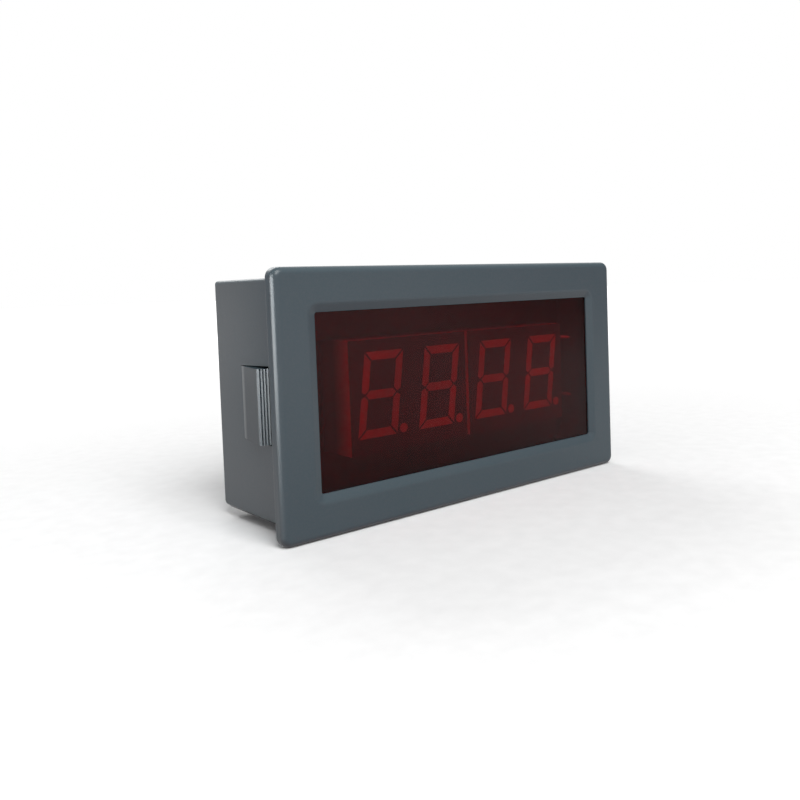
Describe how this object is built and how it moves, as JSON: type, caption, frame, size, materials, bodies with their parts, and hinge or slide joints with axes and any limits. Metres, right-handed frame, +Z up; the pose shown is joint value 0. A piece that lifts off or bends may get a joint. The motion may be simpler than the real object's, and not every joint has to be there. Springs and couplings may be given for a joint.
{
  "type": "digital panel meter",
  "caption": "Snap-in digital panel meter: grey bezel and tub, seven-segment display behind a red window, spring side clips and screw terminals at the back.",
  "frame": {"origin": "centre of the bezel's back face, the plane that lies on the panel", "axes": "+X to the right seen from the front, +Y into the panel towards the terminals, +Z up"},
  "size_m": [0.079, 0.0254, 0.042],
  "materials": {
    "case_plastic": "fine matte moulded grey",
    "red_filter": "dark red transparent, slightly matt face",
    "display_plastic": "white sides with a dark face",
    "segment_resin": "milky diffusing resin",
    "tinned_lead": "tin plated",
    "board_laminate": "green solder mask",
    "chip_resin": "moulded epoxy",
    "black_plastic": "moulded, slightly glossy",
    "contact_brass": "bright stamped",
    "plated_steel": "zinc plated",
    "blue_plastic": "moulded",
    "capacitor_sleeve": "shrunk sleeve",
    "film_capacitor_coat": "dipped",
    "resistor_lacquer": "lacquer"
  },
  "bodies": {
    "meter": {"front_case": "case_plastic", "window_filter": "red_filter", "rear_cover": "case_plastic", "circuit_board": "board_laminate", "terminal_strip": "black_plastic", "trimmer_body": "blue_plastic", "terminal_contact_1": "contact_brass", "terminal_contact_2": "contact_brass", "terminal_contact_3": "contact_brass", "terminal_contact_4": "contact_brass", "display_shell_left": "display_plastic", "display_shell_right": "display_plastic", "display_segments_left": "segment_resin", "display_segments_right": "segment_resin", "display_pins_left": "tinned_lead", "display_pins_right": "tinned_lead", "converter_chip": "chip_resin", "converter_chip_leads": "tinned_lead", "trimmer_pins": "tinned_lead", "electrolytic_capacitor_1": "capacitor_sleeve", "electrolytic_capacitor_2": "capacitor_sleeve", "film_capacitor": "film_capacitor_coat", "resistor_1": "resistor_lacquer", "resistor_2": "resistor_lacquer", "resistor_3": "resistor_lacquer", "voltage_regulator": "chip_resin"},
    "clip_left": {"side_clip_left": "case_plastic"},
    "clip_right": {"side_clip_right": "case_plastic"},
    "trimmer_adjuster": {"trimmer_screw": "contact_brass"},
    "clamp_1": {"wire_clamp_1": "plated_steel"},
    "screw_1": {"terminal_screw_1": "plated_steel"},
    "clamp_2": {"wire_clamp_2": "plated_steel"},
    "screw_2": {"terminal_screw_2": "plated_steel"},
    "clamp_3": {"wire_clamp_3": "plated_steel"},
    "screw_3": {"terminal_screw_3": "plated_steel"},
    "clamp_4": {"wire_clamp_4": "plated_steel"},
    "screw_4": {"terminal_screw_4": "plated_steel"}
  },
  "joints": [
    {"name": "left_clip_flex", "type": "hinge", "parent": "meter", "child": "clip_left", "pos_m": [-0.0357, 0.0143, -0.0006], "axis": [0, 0, 1], "range_deg": [0, 11], "stiffness_Nm_per_rad": 0.3},
    {"name": "right_clip_flex", "type": "hinge", "parent": "meter", "child": "clip_right", "pos_m": [0.0357, 0.0143, -0.0006], "axis": [0, 0, -1], "range_deg": [0, 11], "stiffness_Nm_per_rad": 0.3},
    {"name": "trimmer_turn", "type": "hinge", "parent": "meter", "child": "trimmer_adjuster", "pos_m": [0.02384, 0.0198, -0.00259], "axis": [0, 1, 0], "continuous": true},
    {"name": "wire_clamp_1_lift", "type": "slide", "parent": "meter", "child": "clamp_1", "axis": [0, 1, 0], "range_m": [0, 0.0025]},
    {"name": "terminal_screw_1_turn", "type": "hinge", "parent": "clamp_1", "child": "screw_1", "pos_m": [-0.01143, 0.017, -0.00549], "axis": [0, 1, 0], "range_deg": [0, 1800]},
    {"name": "wire_clamp_2_lift", "type": "slide", "parent": "meter", "child": "clamp_2", "axis": [0, 1, 0], "range_m": [0, 0.0025]},
    {"name": "terminal_screw_2_turn", "type": "hinge", "parent": "clamp_2", "child": "screw_2", "pos_m": [-0.00381, 0.017, -0.00549], "axis": [0, 1, 0], "range_deg": [0, 1800]},
    {"name": "wire_clamp_3_lift", "type": "slide", "parent": "meter", "child": "clamp_3", "axis": [0, 1, 0], "range_m": [0, 0.0025]},
    {"name": "terminal_screw_3_turn", "type": "hinge", "parent": "clamp_3", "child": "screw_3", "pos_m": [0.00381, 0.017, -0.00549], "axis": [0, 1, 0], "range_deg": [0, 1800]},
    {"name": "wire_clamp_4_lift", "type": "slide", "parent": "meter", "child": "clamp_4", "axis": [0, 1, 0], "range_m": [0, 0.0025]},
    {"name": "terminal_screw_4_turn", "type": "hinge", "parent": "clamp_4", "child": "screw_4", "pos_m": [0.01143, 0.017, -0.00549], "axis": [0, 1, 0], "range_deg": [0, 1800]}
  ],
  "couplings": [
    {"joint": "terminal_screw_1_turn", "follows": "wire_clamp_1_lift", "rad_per_m": 12566},
    {"joint": "terminal_screw_2_turn", "follows": "wire_clamp_2_lift", "rad_per_m": 12566},
    {"joint": "terminal_screw_3_turn", "follows": "wire_clamp_3_lift", "rad_per_m": 12566},
    {"joint": "terminal_screw_4_turn", "follows": "wire_clamp_4_lift", "rad_per_m": 12566}
  ]
}
